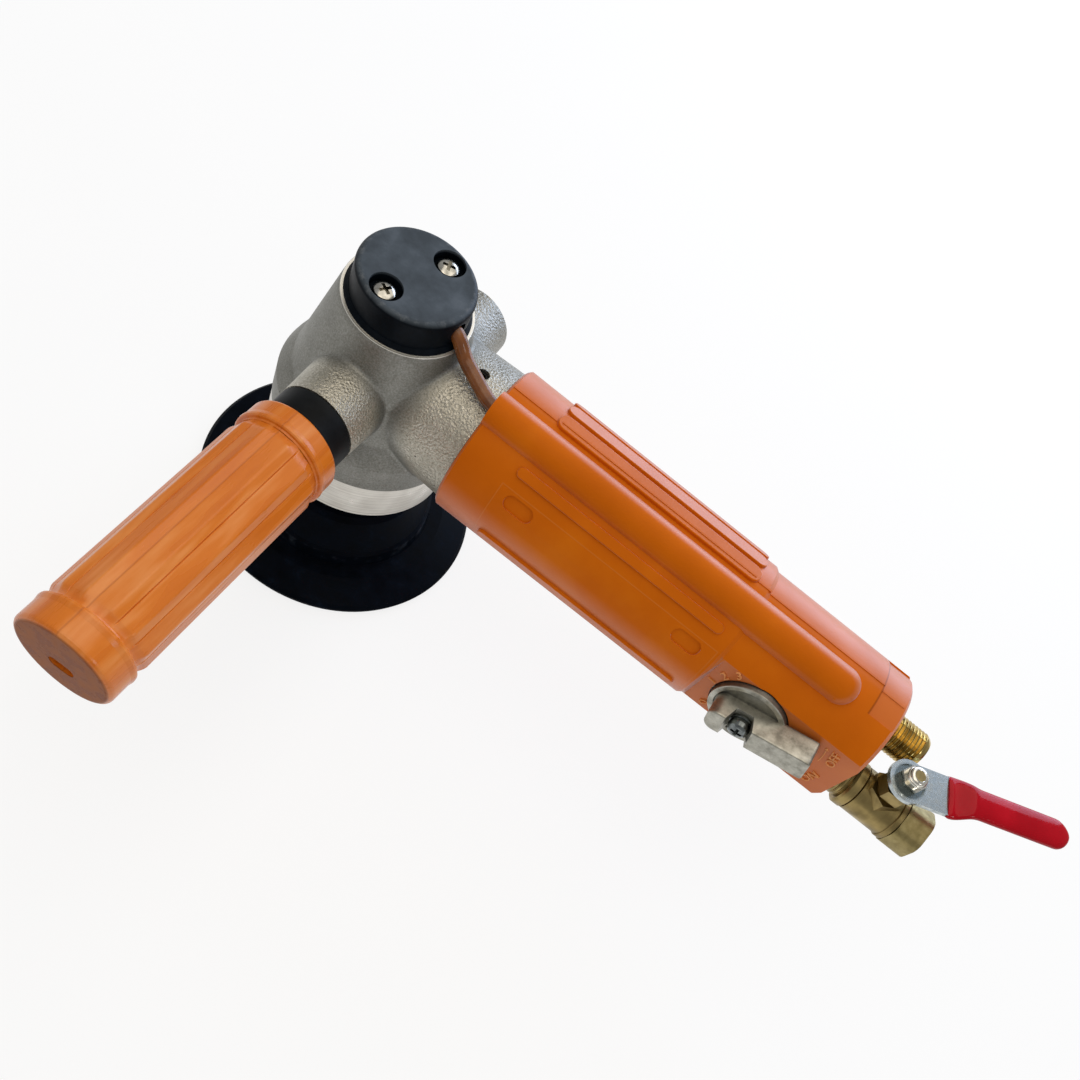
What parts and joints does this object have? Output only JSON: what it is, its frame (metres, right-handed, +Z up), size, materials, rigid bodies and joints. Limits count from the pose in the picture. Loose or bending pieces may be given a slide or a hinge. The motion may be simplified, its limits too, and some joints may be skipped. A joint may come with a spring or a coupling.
{
  "type": "air polisher",
  "caption": "Right-angle pneumatic wet polisher with a ribbed rubber grip sleeve, screw-on side handle, throttle lever, water ball valve and a stepped rubber backing pad.",
  "frame": {"origin": "centre of the pad face, where the spindle axis meets the work", "axes": "+Z up the spindle from the pad face, +X along the main handle to the hose end, side handle towards -Y"},
  "size_m": [0.3165, 0.1907, 0.1153],
  "materials": {
    "cast_aluminium": "sand-cast, matt",
    "machined_aluminium": "turned",
    "steel": "ground",
    "screw_steel": "zinc plated",
    "black_steel": "black oxide",
    "black_plastic": "satin",
    "orange_rubber": "moulded, satin",
    "pad_rubber": "moulded, satin",
    "seal_rubber": "matt",
    "hook_fabric": "hook pile",
    "tube_plastic": "glossy",
    "brass": "machined",
    "zinc": "zinc casting, bright",
    "red_vinyl": "dipped, glossy",
    "white_ptfe": "smooth",
    "vane_composite": "machined"
  },
  "bodies": {
    "tool_body": {"gear_head_housing": "cast_aluminium", "spindle_bearing_cap": "machined_aluminium", "lower_bearing_outer_race": "steel", "upper_bearing_outer_race": "steel", "spindle_oil_seal": "seal_rubber", "water_seal": "seal_rubber", "water_cap_gasket": "seal_rubber", "water_cap": "black_plastic", "water_cap_screws": "screw_steel", "water_tube": "tube_plastic", "neck_set_screw": "black_steel", "pinion_bearing_outer_race": "steel", "pinion_bearing_retainer": "steel", "motor_housing": "steel", "front_end_plate": "machined_aluminium", "rear_end_plate": "machined_aluminium", "motor_cylinder": "steel", "cylinder_dowel": "steel", "rotor_bearing_outer_races": "steel", "backhead": "cast_aluminium", "exhaust_silencer": "brass", "grip_sleeve": "orange_rubber", "air_inlet_nipple": "brass", "water_valve_body": "brass", "water_valve_end": "brass", "water_valve_seats": "white_ptfe", "water_valve_packing_nut": "brass", "side_handle_collar": "black_plastic", "side_handle_stud": "steel", "side_handle_grip": "orange_rubber"},
    "spindle_body": {"spindle": "steel", "gear_key": "steel", "driven_bevel_gear": "steel", "gear_lock_nut": "steel", "lower_bearing_inner_race": "steel", "upper_bearing_inner_race": "steel", "pad_insert": "steel", "backing_pad": "pad_rubber", "hook_face": "hook_fabric"},
    "rotor_body": {"bevel_pinion": "steel", "pinion_bearing_inner_race": "steel", "rotor": "steel", "rotor_vanes": "vane_composite", "rotor_bearing_inner_races": "steel"},
    "throttle_body": {"throttle_lever": "zinc", "throttle_lever_screw": "screw_steel", "throttle_spool": "brass", "throttle_o_rings": "seal_rubber"},
    "water_lever_body": {"valve_stem": "brass", "valve_ball": "brass", "valve_lever_plate": "zinc", "valve_lever_grip": "red_vinyl", "valve_lever_nut": "screw_steel"}
  },
  "joints": [
    {"name": "spindle_spin", "type": "hinge", "parent": "tool_body", "child": "spindle_body", "pos_m": [0, 0, 0], "axis": [0, 0, 1], "continuous": true},
    {"name": "rotor_spin", "type": "hinge", "parent": "tool_body", "child": "rotor_body", "pos_m": [0.09, 0, 0.077], "axis": [1, 0, 0], "continuous": true},
    {"name": "throttle_turn", "type": "hinge", "parent": "tool_body", "child": "throttle_body", "pos_m": [0.156, -0.0205, 0.077], "axis": [0, 1, 0], "range_deg": [0, 60]},
    {"name": "water_valve_turn", "type": "hinge", "parent": "tool_body", "child": "water_lever_body", "pos_m": [0.2098, -0.0095, 0.0845], "axis": [0, 0, -1], "range_deg": [0, 90]}
  ],
  "couplings": [
    {"joint": "rotor_spin", "follows": "spindle_spin", "ratio": 2.5}
  ]
}
